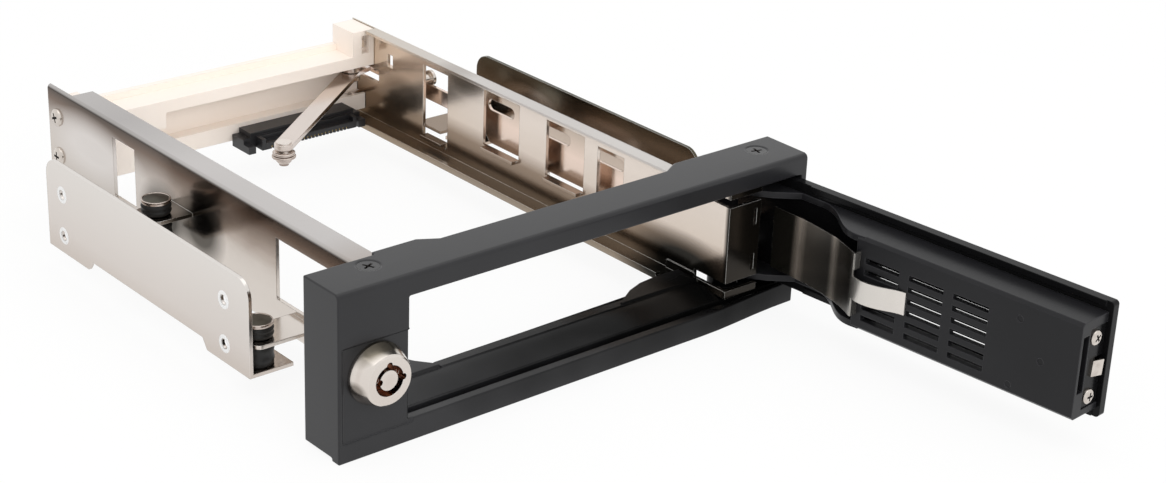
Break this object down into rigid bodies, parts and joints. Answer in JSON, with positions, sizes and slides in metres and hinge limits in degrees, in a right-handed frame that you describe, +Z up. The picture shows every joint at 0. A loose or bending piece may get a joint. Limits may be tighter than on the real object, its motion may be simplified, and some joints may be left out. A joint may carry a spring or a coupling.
{
  "type": "hard drive mobile rack",
  "caption": "Trayless drive-bay rack with a lever-linked front door, a key lock, a sheet-steel cage on rubber isolators, an ejector and a drive connector.",
  "frame": {"origin": "on the bezel's middle line, in the plane where its back meets the chassis, level with the bottom of the bezel's body", "axes": "+X to the right seen from the front, +Y to the back of the bay, +Z up"},
  "size_m": [0.1539, 0.2713, 0.0433],
  "materials": {
    "bezel_plastic": "satin moulded plastic",
    "door_plastic": "semi-gloss moulded plastic",
    "plated_steel": "warm polished nickel plate with soft reflections",
    "screw_steel": "nickel plate",
    "black_screws": "black zinc",
    "isolator_rubber": "matt rubber",
    "frame_plastic": "cream moulded plastic",
    "connector_plastic": "black moulded plastic",
    "contact_gold": "gold plate",
    "lock_nickel": "bright nickel plate",
    "spring_steel": "polished spring steel"
  },
  "bodies": {
    "chassis": {"bezel_frame": "bezel_plastic", "bezel_screws": "black_screws", "left_side_wall": "plated_steel", "right_side_wall": "plated_steel", "left_mount_bracket": "plated_steel", "right_mount_bracket": "plated_steel", "left_front_isolator": "isolator_rubber", "left_rear_isolator": "isolator_rubber", "right_front_isolator": "isolator_rubber", "right_rear_isolator": "isolator_rubber", "isolator_studs": "black_screws", "rear_frame": "frame_plastic", "rear_frame_screws": "screw_steel", "column_screw": "screw_steel", "sata_connector": "connector_plastic", "connector_contacts": "contact_gold", "lock_barrel": "lock_nickel", "lock_nut": "screw_steel", "hinge_pin": "screw_steel", "link_guides": "screw_steel", "lever_pivot_rivet": "screw_steel"},
    "door": {"door_outer_panel": "door_plastic", "door_inner_box": "door_plastic", "door_end_plate": "door_plastic", "door_screws": "screw_steel", "leaf_spring": "spring_steel", "latch_spring": "spring_steel"},
    "latch": {"latch_bolt": "screw_steel"},
    "link": {"link_bar": "plated_steel"},
    "lever": {"ejector_lever": "plated_steel", "roller_clip": "screw_steel"},
    "roller": {"ejector_roller": "connector_plastic"},
    "lock_core": {"lock_cylinder": "lock_nickel", "lock_cam": "plated_steel"}
  },
  "joints": [
    {"name": "door_hinge", "type": "hinge", "parent": "chassis", "child": "door", "pos_m": [0.0579, -0.00145, 0.02], "axis": [0, 0, 1], "range_deg": [-94.83, 0]},
    {"name": "link_slide", "type": "slide", "parent": "chassis", "child": "link", "axis": [0, 1, 0], "range_m": [-0.0082, 0]},
    {"name": "ejector_pivot", "type": "hinge", "parent": "chassis", "child": "lever", "pos_m": [0.044, 0.15, 0.0217], "axis": [0, 0, 1], "range_deg": [-37.6, 0]},
    {"name": "roller_spin", "type": "hinge", "parent": "lever", "child": "roller", "pos_m": [-0.00558, 0.11195, 0.0185], "axis": [0, 0, 1], "continuous": true},
    {"name": "latch_slide", "type": "slide", "parent": "door", "child": "latch", "axis": [0.0842, -0.9964, 0], "range_m": [-0.0024, 0], "stiffness_N_per_m": 200, "deforming": ["latch_spring"]},
    {"name": "lock_turn", "type": "hinge", "parent": "chassis", "child": "lock_core", "pos_m": [-0.0636, -0.006, 0.0202], "axis": [0, 1, 0], "range_deg": [0, 90]}
  ],
  "couplings": [
    {"joint": "link_slide", "follows": "door_hinge", "m_per_rad": 0.004894},
    {"joint": "ejector_pivot", "follows": "door_hinge", "ratio": 0.39544}
  ]
}
